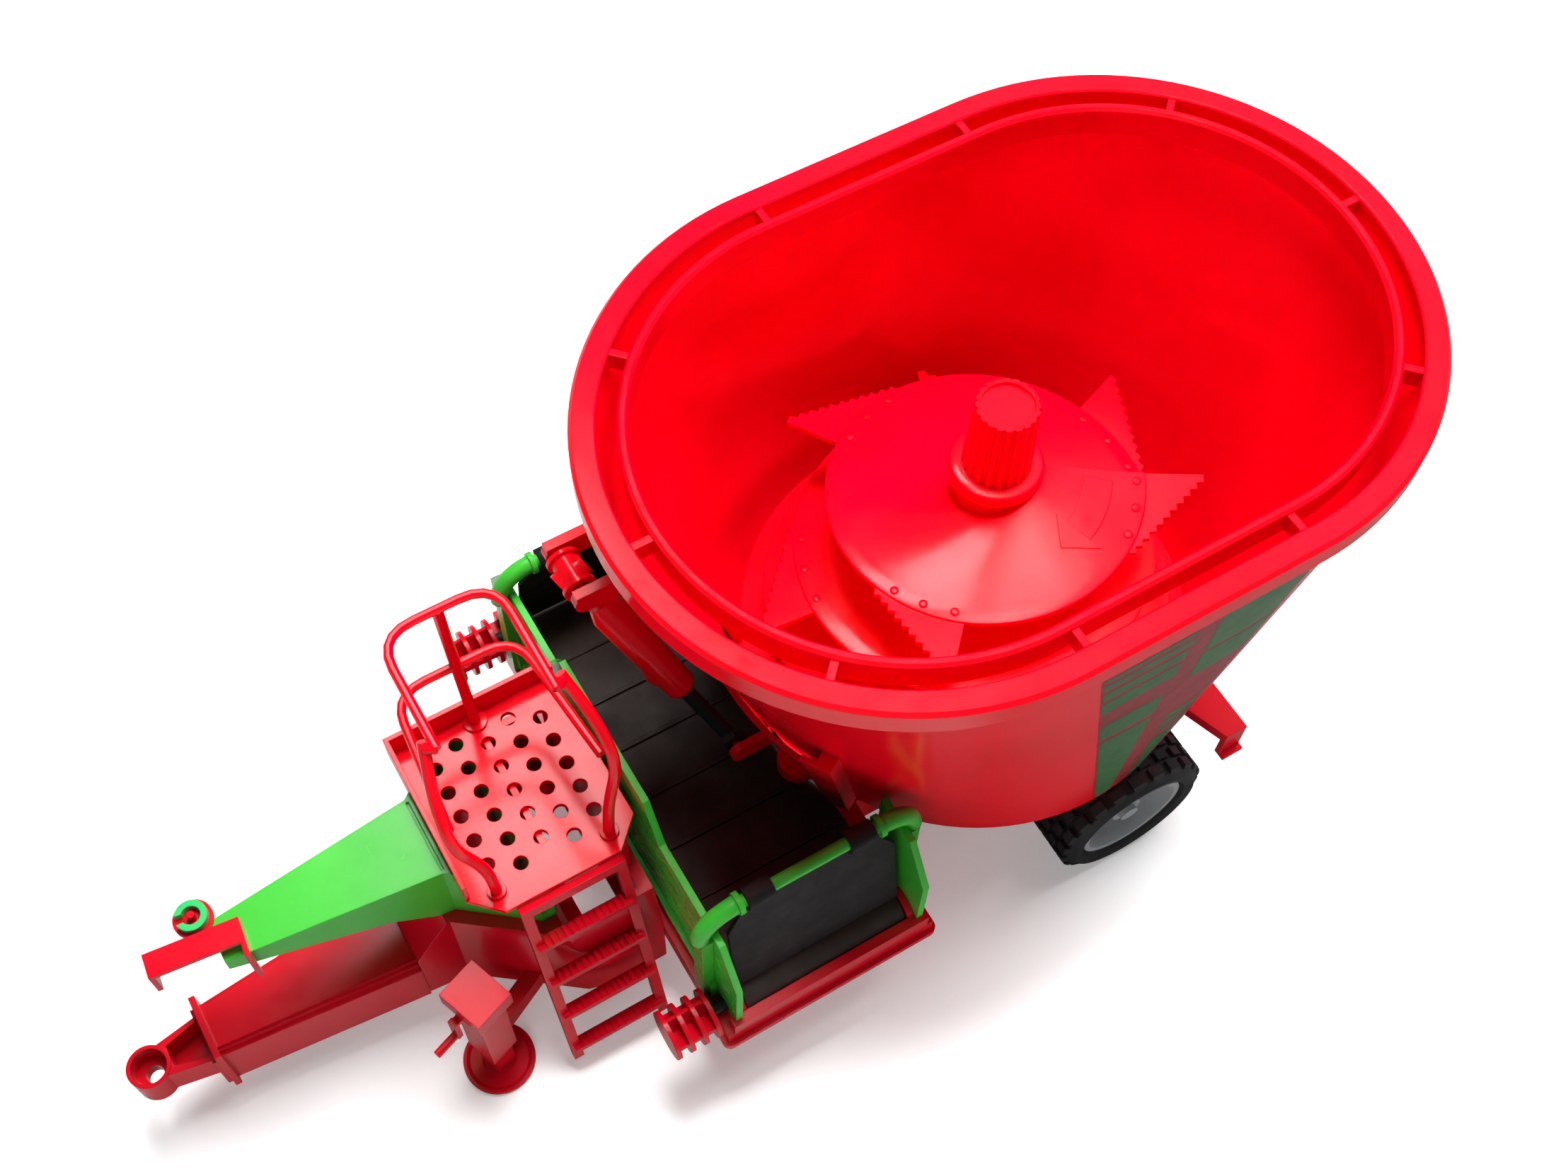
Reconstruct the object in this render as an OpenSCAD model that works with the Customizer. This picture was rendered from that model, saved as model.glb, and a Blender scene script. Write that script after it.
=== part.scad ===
// Toy feed mixer wagon: an oval tub with one vertical auger on a single axle, a cross conveyor
// in front of it, a drawbar with a platform, a ladder and a parking jack.
// +X points to the drawbar, +Y to the ladder side, +Z up; the floor is z = 0.
// Lengths along X are measured from the auger axis and shifted by origin_x at the very end.

/* [Tub] */
// Radius of the rounded ends of the rim's crest
rim_r = 80.7; // [80:0.1:86]
// Half the straight length of the rim
rim_half = 33.7; // [28:0.1:40]
// Height of the rim above the floor
rim_z = 181; // [172:1:190]
// How far the rim's crest stands out of the wall
lip_out = 3.1; // [2:0.1:4]
// How much wider the wall's ends are at the top than at the round bottom
tub_taper = 7.6; // [6:0.2:9]
// Height of the underside of the bottom
tub_bottom_z = 52; // [50:0.5:56]
// Thickness of the wall and the bottom
tub_wall = 2; // [1.5:0.1:2.6]
// Width of the rim's flange
flange_w = 6.8; // [5:0.1:8]
// Height of the rim's skirt
skirt_h = 8; // [5:0.5:12]
// Width of the open slot between the flange and the inner ring
slot_w = 5; // [4:0.1:6]
// Width of the inner ring
ring_w = 2.8; // [2:0.1:4]
// Height of the inner ring
ring_h = 9; // [6:0.5:12]
// Thickness of the ribs that carry the inner ring
ring_rib = 2; // [1.4:0.1:3]

/* [Auger] */
// Height of the top of the auger's collar
collar_z = 137; // [130:1:145]
// Radius of the collar
collar_r = 13; // [11:0.5:15]
// Radius of the core below the collar
core_r = 11.5; // [9:0.5:12.5]
// Radius of the flight at its upper edge
flight_top_r = 41; // [36:0.5:45]
// Radius of the flight at its lower edge
flight_low_r = 63; // [56:0.5:64]
// Height of the flight's upper edge at its rim
flight_top_z = 131; // [126:0.5:134]
// Rise of the flight in one turn
flight_pitch = 26; // [22:0.5:30]
// Thickness of the flight
flight_t = 1.8; // [1.4:0.1:2.4]
// Turns of the flight
flight_turns = 2.7; // [2:0.1:2.8]
// Drop of the flight's surface from its core to its rim
flight_dish = 5; // [2:0.5:7]
// Angle of the flight's upper edge, seen from above
flight_start = 150; // [120:5:180]
// How far the knives stand out of the flight
knife_out = 16; // [10:0.5:18]
// Thickness of the knives
knife_t = 1.6; // [1.2:0.1:2.2]
// Number of knives
knives = 7; // [4:1:8]
// Angle from one knife to the next
knife_step = 103; // [90:1:110]
// Teeth on one knife
knife_teeth = 11; // [7:1:13]
// Depth of a tooth
tooth_h = 1.3; // [0.8:0.1:2]
// Height of the fluted knob
knob_h = 25; // [18:0.5:30]
// Radius of the knob at its foot
knob_foot_r = 9.6; // [8:0.1:11]
// Radius of the knob at its top
knob_top_r = 8.5; // [7:0.1:10]
// Flutes round the knob
flutes = 20; // [12:1:28]

/* [Running gear] */
// Radius of the tyres
tyre_r = 25.2; // [24.6:0.1:25.4]
// Width of the tyres
tyre_w = 20; // [16:0.5:20]
// Distance from the centre line to the middle of a tyre
track_half = 65; // [64.5:0.5:68]
// Place of the axle behind the auger
axle_back = 16.5; // [10:0.5:24]
// Radius of the axle
axle_r = 3; // [2:0.1:4]
// Distance of the rear bumper's back from the auger
bumper_back = 59.5; // [56:0.5:66]
// Running clearance of a turning fit
run_gap = 0.05; // [0.03:0.01:0.1]
// Radius of the wheel rim's seat for the tyre
seat_r = 16.5; // [14:0.5:18]
// Depth of a tread block
lug_h = 1.5; // [0.8:0.1:2]
// Tread blocks in one row
lugs = 22; // [16:1:26]

/* [Chassis and drawbar] */
// Height of the underside of the chassis
chassis_z = 18; // [14:1:22]
// Height of the top of the chassis rails
rail_top = 34; // [31:0.5:35]
// Half width of the chassis in front of the conveyor
chassis_half = 38; // [34:0.5:42]
// Wall of the chassis
chassis_wall = 2.5; // [2:0.1:4]
// Height of the front of the chassis
tower_z = 62; // [58:0.5:66]
// Length of the chassis in front of the conveyor
tower_len = 68; // [64:0.5:74]
// Height at which the chassis's sloping front begins
nose_z = 44; // [42:0.5:50]
// How far the top of the sloping front lies back
nose_back = 11; // [6:0.5:14]
// Half width of the drawbar at the chassis
bar_rear_half = 13.8; // [11:0.1:16]
// Half width of the drawbar at its collar
bar_front_half = 8.2; // [6:0.1:10]
// Height of the top of the drawbar
bar_top = 40; // [36:0.5:44]
// Height of the underside of the drawbar
bar_low = 17; // [14:0.5:20]
// Length of the drawbar from the chassis to its collar
bar_len = 57.5; // [50:0.5:62]
// Distance from the collar to the towing eye
eye_out = 18.9; // [16:0.1:24]
// Outer radius of the towing eye
eye_r = 6.1; // [5.4:0.1:8]
// Radius of the towing eye's hole
eye_bore = 2.5; // [1.5:0.1:3.5]
// Height of the top of the towing eye
eye_top = 34.8; // [32:0.2:38]

/* [Front cover and platform] */
// Height of the top of the front cover
cover_z = 88.5; // [86:0.5:92]
// Distance from the conveyor to the tip of the front cover
cover_len = 111; // [104:0.5:116]
// Half width of the cover's tip
cover_tip_half = 6; // [4:0.2:8]
// Height of the platform's floor
floor_z = 85.7; // [84:0.1:88]
// Half width of the platform
floor_half = 28.5; // [26:0.5:32]
// Gap between the conveyor and the platform
floor_gap = 1.5; // [1:0.1:4]
// Length of the platform
floor_len = 49.5; // [44:0.5:54]
// Thickness of the platform
floor_t = 1.8; // [1.2:0.1:2.4]
// Height of the platform's walls
floor_wall_h = 8; // [4:0.5:10]
// Radius of the holes in the floor
floor_hole_r = 2.05; // [1.5:0.05:2.6]
// Pitch of the holes
hole_pitch = 7.9; // [7:0.1:9]
// Height of the upper rail above the floor
rail_upper = 59; // [50:1:64]
// Height of the lower rail above the floor
rail_lower = 31; // [24:1:40]
// Radius of the rails' tube
rail_r = 1.3; // [1:0.05:1.8]
// Radius of the side posts
post_r = 1.6; // [1.2:0.05:2]
// Width of the ladder
ladder_w = 31; // [26:0.5:34]
// Steps of the ladder
ladder_steps = 4; // [3:1:5]
// Ribs on each tread
tread_ribs = 13; // [6:1:16]
// Distance between two treads along the ladder
step_pitch = 18.3; // [16:0.1:20]
// How far the foot of the ladder stands out
ladder_out = 19; // [8:0.5:24]

/* [Conveyor] */
// Distance from the tub's bottom to the middle of the conveyor
conv_gap = 21.75; // [20.5:0.25:26]
// Half width between the outer faces of the side plates
conv_half = 30.25; // [29:0.25:31]
// Thickness of the side plates
plate_t = 2; // [1.4:0.1:2.4]
// Half length of the conveyor
conv_end = 75; // [72:0.5:78]
// Height of the rollers' axis
roller_z = 45; // [44:0.5:46]
// Distance of the rollers from the centre line
roller_y = 67; // [65:0.5:68]
// Radius of the rollers
roller_r = 3.9; // [3:0.1:4.2]
// Thickness of the belt
belt_t = 0.9; // [0.6:0.1:1.2]
// Height of the belt's ridges
ridge_h = 0.7; // [0.4:0.1:1]
// Distance from ridge to ridge
ridge_pitch = 17.2; // [12:0.1:20]
// Distance of the flap's tube from the centre line
hinge_y = 58.8; // [56:0.2:60]
// Height of the flap's tube
hinge_z = 92; // [88:0.5:96]
// Radius of the flap's tube
hinge_r = 1.9; // [1.4:0.05:2.2]
// Radius of the bends at both ends of the flap's tube
elbow_r = 2.6; // [2.2:0.1:3]
// Height of the side plates at their ends
plate_low = 84; // [80:0.5:87]
// Height of the front plate's middle
plate_high = 97; // [90:0.5:100]
// Angle at which the flaps rest
flap_tilt = 10; // [4:1:14]
// Thickness of the flaps
flap_t = 1.2; // [0.8:0.1:1.6]
// Radius of the discs on the turning knobs
disc_r = 7.3; // [6:0.1:8]

/* [Door and cylinder] */
// Half angle of the discharge door
door_half = 24; // [18:1:26]
// Height of the door
door_h = 30; // [26:1:34]
// Thickness of the door
door_t = 2; // [1.4:0.1:2.6]
// Clearance between the door and the wall
door_gap = 0.6; // [0.5:0.05:1]
// Travel of the door
door_travel = 24; // [16:1:26]
// How far the cylinder's upper pin stands out from the wall
pin_out = 17.9; // [16:0.1:20]
// Place of the cylinder's upper pin across
pin_y = -31; // [-34:0.5:-28]
// Drop from the rim to the cylinder's upper pin
pin_drop = 55; // [52:0.5:60]
// How far the rod's eye stands out from the door
lug_out = 7.5; // [7:0.1:9]
// Place of the rod's eye across
lug_y = 10; // [6:0.5:14]
// Height of the rod's eye
lug_z = 67; // [64:0.5:70]
// Radius of the cylinder's barrel
barrel_r = 5.3; // [4:0.1:5.6]
// Radius of the cylinder's rod
rod_r = 2.2; // [1.5:0.1:2.8]

/* [Jack] */
// Distance of the jack from the front end of the chassis
jack_back = 9; // [6:0.5:12]
// Place of the jack across
jack_y = 36; // [34:0.5:40]
// Turn of the jack about its own axis
jack_turn = 20; // [0:5:30]
// Radius of the jack's foot
foot_r = 10.6; // [8:0.2:13]
// Height of the top of the jack
jack_z = 62; // [56:0.5:70]

/* [Hidden] */
$fn = 64;
eps = 0.01;
// A gap that lets two pieces of one body lie side by side
seat = 0.05;
red = [0.80, 0.02, 0.06];
green = [0.10, 0.62, 0.14];
black = [0.06, 0.06, 0.07];
grey = [0.62, 0.64, 0.66];

tub_top_r = rim_r - lip_out;
tub_bottom_r = tub_top_r - tub_taper;
conv_x = tub_bottom_r + conv_gap;
conv_front = conv_x + conv_half;
conv_rear = conv_x - conv_half;
floor_rear = conv_front + floor_gap;
floor_front = floor_rear + floor_len;
tower_x = conv_front + tower_len;
jack_x = tower_x - jack_back;
collar_x = tower_x + bar_len;
eye_x = collar_x + eye_out;
cover_tip = conv_front + cover_len;
origin_x = (rim_half + rim_r - eye_x - eye_r) / 2;
lip_t = 2;
tub_h = rim_z - lip_t - tub_bottom_z;
flange_r = rim_r - flange_w;
ring_r = flange_r - slot_w;
wall_slope = (rim_half + tub_top_r - tub_bottom_r) / tub_h;

// The auger's pivot in the tub's bottom
pivot_r = 5;
// The ears and the pin that carry the cylinder
ear_gap = 14;
ear_t = 3;
ear_h = 7;
pin_r = 1.6;
loose_r = 2.9;
lug_t = 2.4;
// Room beside the rod's eye, which tilts as the door rises
lug_room = 1.1;
lug_pin_r = 1.3;
guide_out = 5;
// The knives stay clear of the wall
knife_reach = tub_bottom_r - tub_wall + 0.5;
pin_z = rim_z - pin_drop;
pin_x = tub_bottom_r + wall_slope * (pin_z - tub_bottom_z) + pin_out;
door_face = tub_bottom_r + wall_slope * (lug_z - tub_bottom_z) + door_gap + door_t;
lug_x = door_face + lug_out;
pin_at = [pin_x, pin_y, pin_z];
lug_at = [lug_x, lug_y - 1.7, lug_z];
cyl_len = norm(lug_at - pin_at);
// The barrel rocks about this line as the rod's eye rises with the door
lug_top = lug_at + door_travel * unit([wall_slope, 0, 1]);
swing_axis = unit(cross(lug_at - pin_at, lug_top - pin_at));
barrel_from = 12;
barrel_to = 50.4;
rod_len = 38;
shoulder_z = floor_z - floor_t - (chassis_half - floor_half) * (floor_z - 7) / ladder_out;
// The conveyor's bearings
beam_top = roller_z - 3.5;
shaft_r = 1.8;
knob_x = conv_front + 4.6;
hinge_half = 21.25;
// Half length of the block that holds the axle
axle_block = track_half - tyre_w / 2 - 3;

function unit(v) = v / norm(v);

// A profile swept round the rim: its x is the distance from the end's centre, its y the height
module rim_sweep() {
    for (s = [-1, 1]) translate([s * rim_half, 0, 0]) rotate([0, 0, -90 * s])
        rotate_extrude(angle = 180, $fn = 96) children();
    for (s = [0, 1]) mirror([0, s, 0]) translate([-rim_half, 0, 0]) rotate([90, 0, 90])
        linear_extrude(2 * rim_half) children();
}

// The tub's outside grown by grow: a round bottom that runs into the oval rim
module tub_form(grow, z0 = tub_bottom_z, lift = 0) {
    hull() {
        translate([0, 0, z0]) cylinder(r = tub_bottom_r + grow, h = eps, $fn = 96);
        for (s = [-1, 1]) translate([s * rim_half, 0, tub_bottom_z + tub_h + lift - eps])
            cylinder(r = tub_top_r + grow, h = eps, $fn = 96);
    }
}

// A wedge about the tub's axis, open to the front, between two angles
module wedge(a0, a1, r = 130) {
    polygon([[0, 0], for (a = [a0 : (a1 - a0) / 4 : a1 + eps]) r * [cos(a), sin(a)]]);
}

// A tube of radius r along a list of points; up is never parallel to the path
module tube(path, r, up = [0, 0, 1], sides = 10) {
    n = len(path);
    rings = [for (i = [0 : n - 1]) let (
        t = unit(path[min(i + 1, n - 1)] - path[max(i - 1, 0)]),
        a = unit(cross(up, t)), b = cross(t, a))
        for (k = [0 : sides - 1]) path[i] + r * (cos(360 * k / sides) * a + sin(360 * k / sides) * b)];
    sides_f = [for (i = [0 : n - 2], k = [0 : sides - 1]) let (
        p = i * sides + k, q = i * sides + (k + 1) % sides)
        [p, p + sides, q + sides, q]];
    polyhedron(rings, concat([[for (k = [0 : sides - 1]) k]], sides_f,
        [[for (k = [sides - 1 : -1 : 0]) (n - 1) * sides + k]]), convexity = 6);
}

// The points of a path with each inner corner rounded over a length c
function rounded(p, c, n = 5) = [p[0],
    for (i = [1 : len(p) - 2]) let (
        a = p[i] + min(c, norm(p[i - 1] - p[i]) / 2.1) * unit(p[i - 1] - p[i]),
        b = p[i] + min(c, norm(p[i + 1] - p[i]) / 2.1) * unit(p[i + 1] - p[i]))
        for (k = [0 : n]) let (u = k / n) (1 - u) * (1 - u) * a + 2 * u * (1 - u) * p[i] + u * u * b,
    p[len(p) - 1]];

// Puts what is drawn along +Z on the line from a to b
module along(a, b) {
    d = b - a;
    translate(a) rotate([0, acos(d.z / norm(d)), atan2(d.y, d.x)]) children();
}

// A plate drawn in Y and Z that is t thick along X, its rear face at x
module cross_plate(x, t) {
    translate([x, 0, 0]) rotate([90, 0, 90]) linear_extrude(t) children();
}

// A plate drawn in X and Z that is t thick along Y, its right face at y
module side_slab(y, t) {
    translate([0, y + t, 0]) rotate([90, 0, 0]) linear_extrude(t) children();
}

// A cylinder along X from x0 to x1
module bar_x(x0, x1, y, z, r) {
    translate([x0, y, z]) rotate([0, 90, 0]) cylinder(r = r, h = x1 - x0);
}

// The two ears that hold the cylinder's upper pin
module clevis_ears() {
    for (s = [-1, 1]) side_slab(pin_y + s * (ear_gap + ear_t) / 2 - ear_t / 2, ear_t) {
        translate([pin_x, pin_z]) circle(ear_h / 2 + 0.4);
        translate([pin_x, pin_z]) square([ear_h / 2 - 0.2, ear_h / 2 + 0.4]);
        translate([pin_x - 2 * pin_out, pin_z - ear_h / 2 - 0.4]) square([2 * pin_out, ear_h + 0.8]);
    }
}

// The guides at both edges of the door, with lips that keep it on the wall
module door_guides() {
    g = door_half + 3;
    intersection() {
        tub_form(guide_out);
        translate([0, 0, tub_bottom_z + 2]) linear_extrude(door_h + door_travel + 4)
            for (s = [-1, 1]) wedge(s * (g + 0.6), s * (g + 3.6));
    }
    intersection() {
        difference() {
            tub_form(guide_out);
            tub_form(door_gap + door_t + 0.7, tub_bottom_z - 1, 1);
        }
        translate([0, 0, tub_bottom_z + 2]) linear_extrude(door_h + door_travel + 4)
            for (s = [-1, 1]) wedge(s * (g - 2), s * (g + 2));
    }
}

// The opening in the wall behind the door
module door_opening() {
    translate([0, 0, tub_bottom_z + tub_wall]) linear_extrude(door_h - 5) difference() {
        wedge(-door_half + 3, door_half - 3);
        circle(tub_bottom_r - 20);
    }
}

module tub() {
    color(red) difference() {
        union() {
            tub_form(0);
            rim_sweep() polygon([[flange_r, rim_z - lip_t], [flange_r, rim_z - 0.5],
                [flange_r + 0.5, rim_z], [rim_r - 1, rim_z], [rim_r, rim_z - 1.2],
                [rim_r, rim_z - skirt_h], [tub_top_r - 1, rim_z - skirt_h],
                [tub_top_r - 1, rim_z - lip_t]]);
            clevis_ears();
            door_guides();
        }
        tub_form(-tub_wall, tub_bottom_z + tub_wall, 2 * eps);
        translate([0, 0, tub_bottom_z - 1]) cylinder(r = pivot_r + run_gap, h = tub_wall + 2);
        door_opening();
        translate([pin_x, pin_y, pin_z]) rotate([90, 0, 0])
            cylinder(r = pin_r + seat, h = 2 * ear_gap, center = true);
    }
}

module spill_ring() {
    ring_top = rim_z + 1;
    color(red) {
        rim_sweep() polygon([[ring_r - ring_w, ring_top - ring_h], [ring_r - ring_w, ring_top - 1],
            [ring_r - ring_w + 0.8, ring_top], [ring_r - 0.8, ring_top], [ring_r, ring_top - 1],
            [ring_r, ring_top - ring_h]]);
        for (s = [-1, 1], a = [-45, 0, 45]) translate([s * rim_half, 0, 0])
            rotate([0, 0, a + (s < 0 ? 180 : 0)]) ring_bridge();
        for (s = [-1, 1], x = [-1, 1]) translate([x * (rim_half - 2.7), 0, 0])
            rotate([0, 0, 90 * s]) ring_bridge();
    }
}

// One rib between the ring and the rim's flange
module ring_bridge() {
    translate([ring_r - ring_w / 2, -ring_rib / 2, rim_z - 6])
        cube([flange_r - seat - ring_r + ring_w / 2, ring_rib, 5.4]);
}

function flight_radius(t) = flight_top_r + (flight_low_r - flight_top_r) * t / flight_turns;
function flight_height(t) = flight_top_z - flight_pitch * t;

// The helical flight: t counts turns from its upper edge, which runs down clockwise
module flight() {
    n = ceil(flight_turns * 30);
    pts = [for (i = [0 : n]) let (t = flight_turns * i / n, a = flight_start - 360 * t,
        d = [cos(a), sin(a), 0], r0 = core_r - 2, r1 = flight_radius(t), z = flight_height(t))
        each [r0 * d + [0, 0, z + flight_dish], r1 * d + [0, 0, z],
            r1 * d + [0, 0, z - flight_t], r0 * d + [0, 0, z + flight_dish - flight_t]]];
    sides = [for (i = [0 : n - 1], k = [0 : 3]) let (p = 4 * i + k, q = 4 * i + (k + 1) % 4)
        each [[p, q + 4, p + 4], [p, q, q + 4]]];
    faces = concat([[0, 2, 1], [0, 3, 2]], sides,
        [[4 * n + 3, 4 * n + 1, 4 * n + 2], [4 * n + 3, 4 * n, 4 * n + 1]]);
    polyhedron(pts, faces, convexity = 12);
}

// A serrated knife for a flight of radius r; its straight edge lies on +X, its teeth clockwise
module knife(r) {
    span = 33;
    tip = [min(r + knife_out, knife_reach), 1];
    heel = (r + 1) * [cos(span), -sin(span)];
    edge = heel - tip;
    out = [edge.y, -edge.x] / norm(edge) * -1;
    teeth = [for (i = [0 : knife_teeth - 1]) each [tip + edge * (i + 0.1) / knife_teeth,
        tip + edge * (i + 0.6) / knife_teeth + out * tooth_h]];
    inner = [for (a = [-span : span / 4 : 0.1]) (r - 4) * [cos(a), sin(a)]];
    linear_extrude(knife_t) polygon(concat(inner, [[r - 3, 1]], [tip], teeth, [heel]));
}

module auger() {
    foot = tub_bottom_z + tub_wall + 0.3;
    color(red) {
        rotate_extrude() polygon([[0, tub_bottom_z - 2], [pivot_r, tub_bottom_z - 2], [pivot_r, foot],
            [core_r + 5, foot], [core_r + 5, foot + 1.5], [core_r, foot + 8], [core_r, collar_z - 5],
            [collar_r, collar_z - 4], [collar_r, collar_z - 0.8], [collar_r - 0.8, collar_z],
            [0, collar_z]]);
        flight();
        for (k = [0 : knives - 1]) let (t = knife_step * k / 360, r = flight_radius(t))
            rotate([0, 0, flight_start - knife_step * k - 1])
            translate([0, 0, flight_height(t) - 0.7 - knife_t])
            rotate([atan(flight_pitch / (2 * PI * r)), 0, 0]) knife(r);
    }
}

module auger_knob() {
    dent = 360 / flutes;
    color(red) translate([0, 0, collar_z]) difference() {
        linear_extrude(knob_h, scale = knob_top_r / knob_foot_r) polygon([for (i = [0 : flutes - 1])
            for (k = [[0, 1], [0.5, 1], [0.62, 0.94], [0.88, 0.94]])
            let (a = (i + k.x) * dent) knob_foot_r * k.y * [cos(a), sin(a)]]);
        translate([0, 0, knob_h - 1]) cylinder(r = knob_top_r - 1.4, h = 2);
    }
}

module discharge_door() {
    z0 = tub_bottom_z + 2;
    d = [wall_slope, 0, 1];
    color(red) {
        intersection() {
            difference() {
                tub_form(door_gap + door_t, tub_bottom_z);
                tub_form(door_gap, tub_bottom_z - 1, 1);
            }
            translate([0, 0, z0]) linear_extrude(door_h) wedge(-door_half - 2, door_half + 2);
        }
        side_slab(lug_at.y + 1 + lug_room, lug_t) {
            translate([lug_x, lug_z]) circle(3.4);
            translate([door_face - 2.2, lug_z - 3.2]) square([lug_x - door_face + 2.2, 6.4]);
        }
        translate([lug_x, lug_at.y - 2.7, lug_z]) rotate([-90, 0, 0])
            cylinder(r = lug_pin_r, h = 4.7 + lug_room);
        difference() {
            rotate([0, 0, 17]) translate([door_face - 1.6, 0, lug_z - 2.4]) cylinder(r = 6, h = 4.8);
            tub_form(door_gap + 0.2, tub_bottom_z - 1, 1);
        }
    }
}

module cylinder_pin() {
    color(red) translate([pin_x, pin_y, pin_z]) rotate([90, 0, 0]) {
        cylinder(r = pin_r, h = ear_gap + 2 * ear_t, center = true);
    }
}

module cylinder_barrel() {
    color(red) difference() {
        union() {
            translate(pin_at) rotate([90, 0, 0]) {
                cylinder(r = 3.8, h = 9.6, center = true);
                for (s = [-1, 1]) translate([0, 0, s * 4.8]) cylinder(r = 4.8, h = 1.2, center = true);
            }
            along(pin_at - 4.6 * swing_axis, pin_at + 4.6 * swing_axis) cylinder(r = 3.3, h = 9.2);
            along(pin_at, lug_at) {
                translate([0, 0, 3.2]) cylinder(r = 1.6, h = barrel_from - 3);
                translate([0, 0, barrel_from]) cylinder(r1 = 3.6, r2 = barrel_r, h = 4);
                translate([0, 0, barrel_from + 4])
                    cylinder(r1 = barrel_r, r2 = barrel_r - 0.7, h = barrel_to - barrel_from - 5.5);
                translate([0, 0, barrel_to - 1.5])
                    cylinder(r1 = barrel_r - 0.7, r2 = barrel_r - 1.7, h = 1.5);
                translate([1.6, 0, barrel_to - 9]) sphere(r = barrel_r - 0.2, $fn = 28);
            }
        }
        translate(pin_at) rotate([90, 0, 0]) cylinder(r = loose_r, h = 16, center = true);
        along(pin_at, lug_at) translate([0, 0, barrel_from + 5])
            cylinder(r = rod_r + run_gap, h = barrel_to);
    }
}

module cylinder_rod() {
    color(black) difference() {
        union() {
            along(pin_at, lug_at) translate([0, 0, cyl_len - rod_len]) cylinder(r = rod_r, h = rod_len - 4.5);
            translate(lug_at) rotate([90, 0, 0]) cylinder(r = 3.4, h = 2, center = true);
            translate(lug_at) rotate([0, atan((pin_x - lug_x) / (pin_z - lug_z)), 0])
                translate([-2, -1, 0]) cube([4, 2, 6]);
        }
        translate(lug_at) rotate([90, 0, 0]) cylinder(r = lug_pin_r + 1, h = 12, center = true);
    }
}

// The plan of the chassis front, drawn in by w
module front_plan(w, x0) {
    h = chassis_half - w;
    half = [[tower_x - w, bar_rear_half - 0.3 - w], [tower_x - 12, bar_rear_half + 0.7 - w],
        [tower_x - 40, h - 2], [tower_x - 47, h], [x0, h]];
    polygon(concat(half, [for (i = [len(half) - 1 : -1 : 0]) [half[i].x, -half[i].y]]));
}

// The front view of the chassis front: its sides lean in above the shoulder, beside the ladder
module shoulder_form(w) {
    lean = (tower_z - shoulder_z) * ladder_out / (floor_z - 7) + 0.3;
    polygon([[-chassis_half + w, 0], [chassis_half - w, 0], [chassis_half - w, shoulder_z],
        [chassis_half - w - lean, tower_z + eps], [-chassis_half + w + lean, tower_z + eps],
        [-chassis_half + w, shoulder_z]]);
}

// The side view of the chassis front, with its sloping nose drawn in by w
module nose_form(w) {
    side_slab(-2 * chassis_half, 4 * chassis_half) polygon([[conv_front, 0], [tower_x - w, 0],
        [tower_x - w, nose_z - w / 2], [tower_x - nose_back - w, tower_z + eps],
        [conv_front, tower_z + eps]]);
}

module chassis() {
    box_rear = conv_front + 3.4;
    wide = 2 * chassis_half;
    color(red) difference() {
        union() {
            intersection() {
                difference() {
                    translate([0, 0, chassis_z]) linear_extrude(tower_z - chassis_z) front_plan(0, box_rear);
                    intersection() {
                        translate([0, 0, chassis_z + chassis_wall]) linear_extrude(tower_z)
                            front_plan(chassis_wall, box_rear + chassis_wall);
                        cross_plate(conv_front, tower_len) shoulder_form(chassis_wall);
                        nose_form(1.2 * chassis_wall);
                    }
                }
                nose_form(0);
                cross_plate(conv_front, tower_len + 1) shoulder_form(0);
            }
            intersection() {
                translate([0, 0, tower_z - 2]) linear_extrude(2) front_plan(0.5, box_rear);
                cross_plate(conv_front, tower_len) shoulder_form(0.2);
                nose_form(0.4);
                union() {
                    translate([tower_x - 38, -chassis_half, 0]) cube([38, wide, rim_z]);
                    for (x = [box_rear, tower_x - 44]) translate([x, -chassis_half, 0])
                        cube([4, wide, rim_z]);
                }
            }
            for (s = [-1, 1]) translate([-58, s * 27 - 3, chassis_z])
                cube([box_rear + 58 + 1, 6, rail_top - chassis_z]);
            for (x = [-58, 40, conv_x + 4]) translate([x, -26, chassis_z])
                cube([6, 52, rail_top - chassis_z - 2]);
            translate([-axle_back - 7, -axle_block, chassis_z])
                cube([14, 2 * axle_block, rail_top - chassis_z - 1]);
            difference() {
                translate([0, 0, rail_top - 1]) cylinder(r = tub_bottom_r - 24, h = tub_bottom_z - rail_top + 1);
                translate([0, 0, rail_top - 2]) cylinder(r = tub_bottom_r - 27.5, h = tub_bottom_z);
            }
        }
        translate([box_rear + 4.6, -24, 0]) cube([12, 48, 40]);
        translate([-axle_back, 0, tyre_r]) rotate([90, 0, 0])
            cylinder(r = axle_r + seat, h = 2 * track_half, center = true);
    }
}

module axle() {
    color(grey) translate([-axle_back, 0, tyre_r]) rotate([90, 0, 0])
        cylinder(r = axle_r, h = 2 * (track_half + 7.2), center = true);
}

// The wheel's body, drawn round Z with its outer side at +Z
module wheel() {
    b = axle_r + run_gap;
    w = tyre_w / 2 - 1.7;
    color(grey) rotate_extrude() polygon([[b, -w], [6, -w], [6, -3], [seat_r - 2.2, -4], [seat_r - 2.2, -w],
        [seat_r + 0.9, -w], [seat_r + 0.9, -w + 0.7], [seat_r, -w + 0.9], [seat_r, w - 0.9],
        [seat_r + 0.9, w - 0.7], [seat_r + 0.9, w], [seat_r - 1, w], [seat_r - 2.4, 2], [8, -0.4],
        [6, 0], [5, 5.6], [b, 5.6]]);
}

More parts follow.
